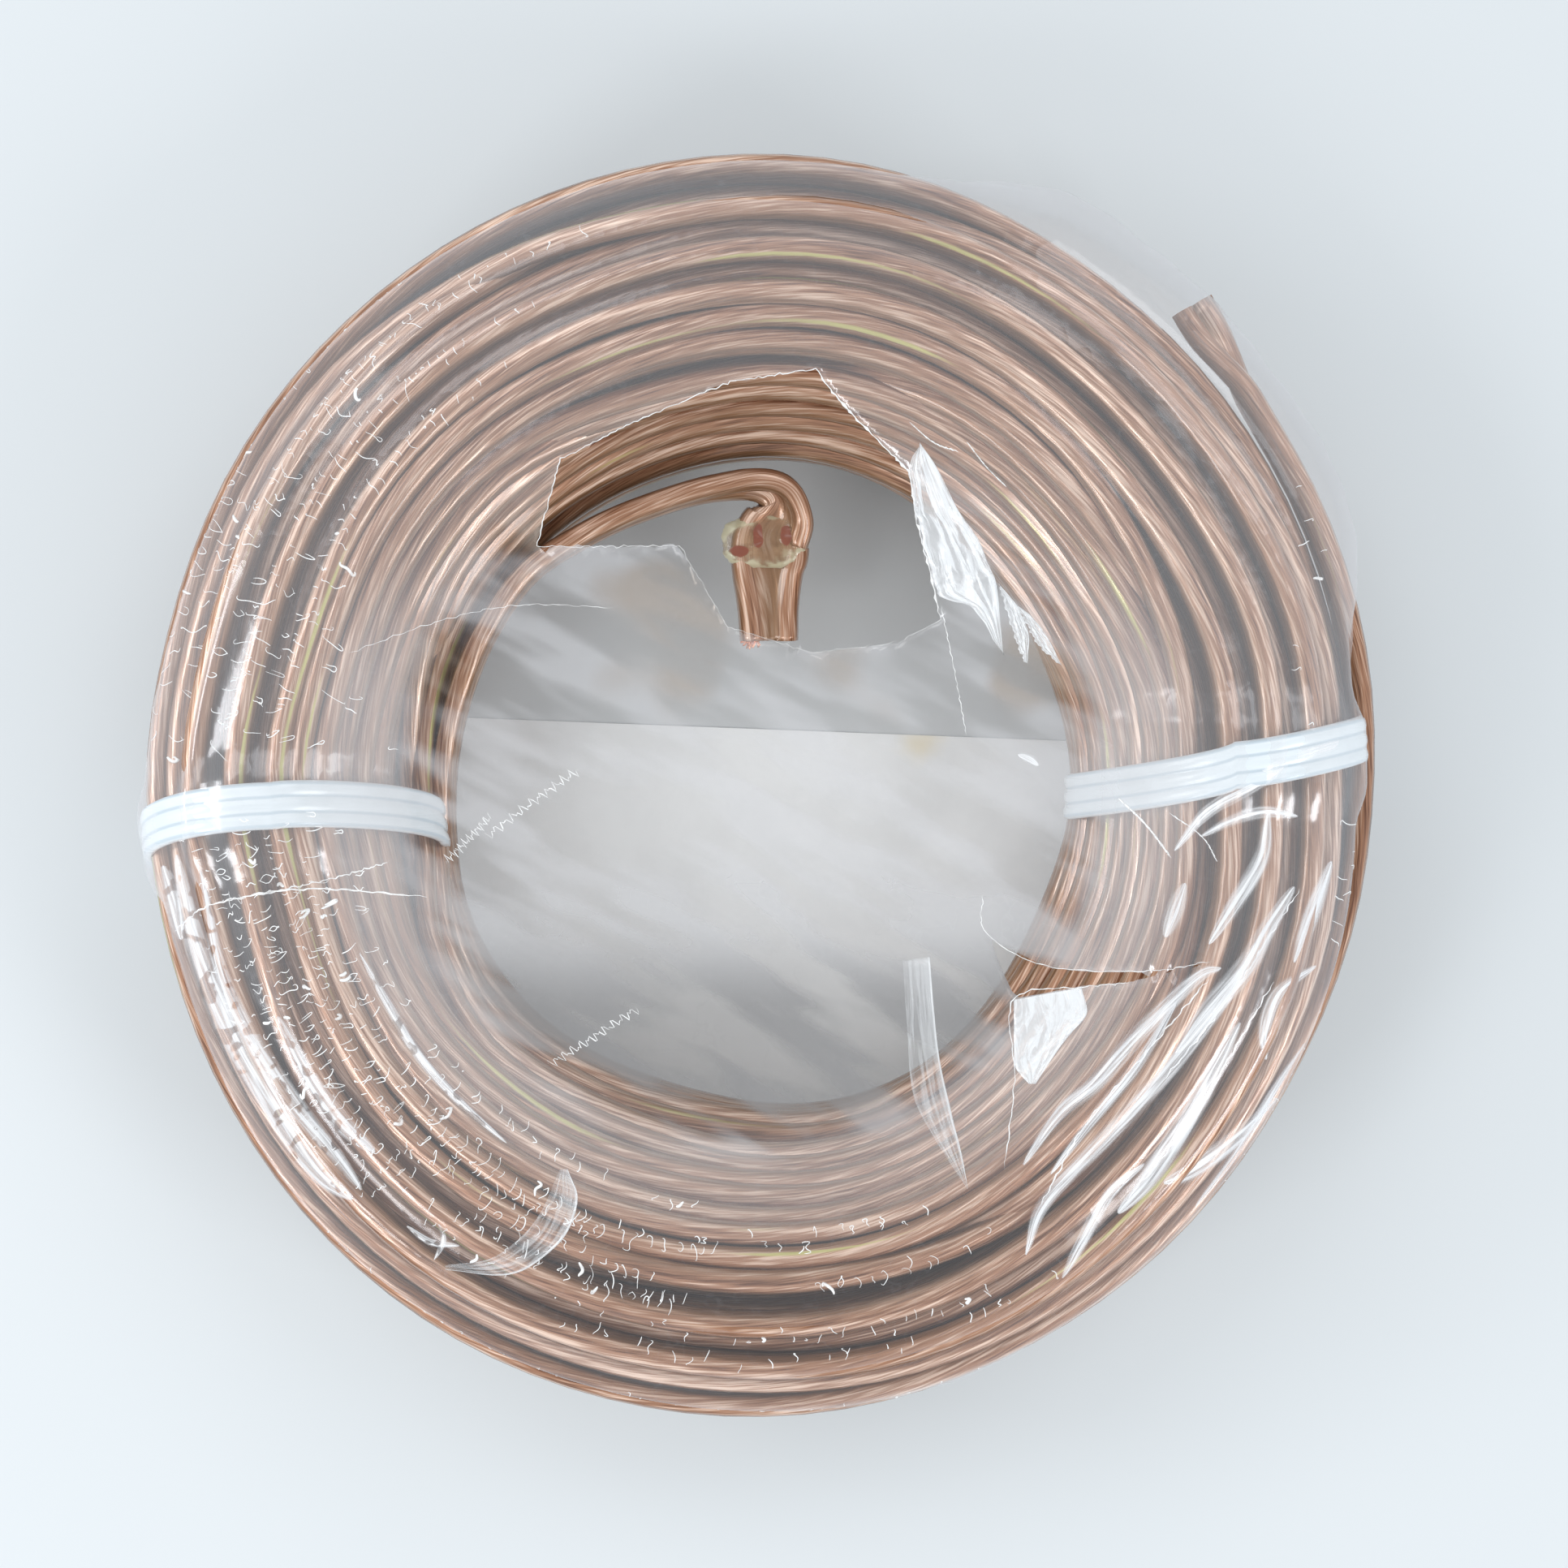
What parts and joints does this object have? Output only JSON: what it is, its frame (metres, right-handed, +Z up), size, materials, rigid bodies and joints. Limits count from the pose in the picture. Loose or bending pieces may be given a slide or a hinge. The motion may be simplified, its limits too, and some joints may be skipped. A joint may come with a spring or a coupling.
{
  "type": "coil of electrical wire",
  "caption": "Coil of clear twin stranded copper wire lying flat, tied at both sides, on a card insert, in torn clear film.",
  "frame": {"origin": "on the floor under the middle of the coil's bore, at the middle of the bottom of the bounding box", "axes": "+Z up along the coil's axis, +Y towards the torn hole and the inner wire end, +X to the right as the coil is looked down on"},
  "size_m": [0.1946, 0.1984, 0.0483],
  "materials": {
    "clear_wire": "clear PVC over bare copper strands",
    "tie_plastic": "smooth, slightly see-through white",
    "white_card": "plain uncoated card",
    "clear_film": "clear, crinkled, glossy"
  },
  "bodies": {
    "root": {"wire_coil": "clear_wire", "wire_inner_end": "clear_wire", "wire_outer_end": "clear_wire", "tie_left": "tie_plastic", "tie_right": "tie_plastic", "card_insert": "white_card", "film_wrap": "clear_film"}
  },
  "joints": []
}
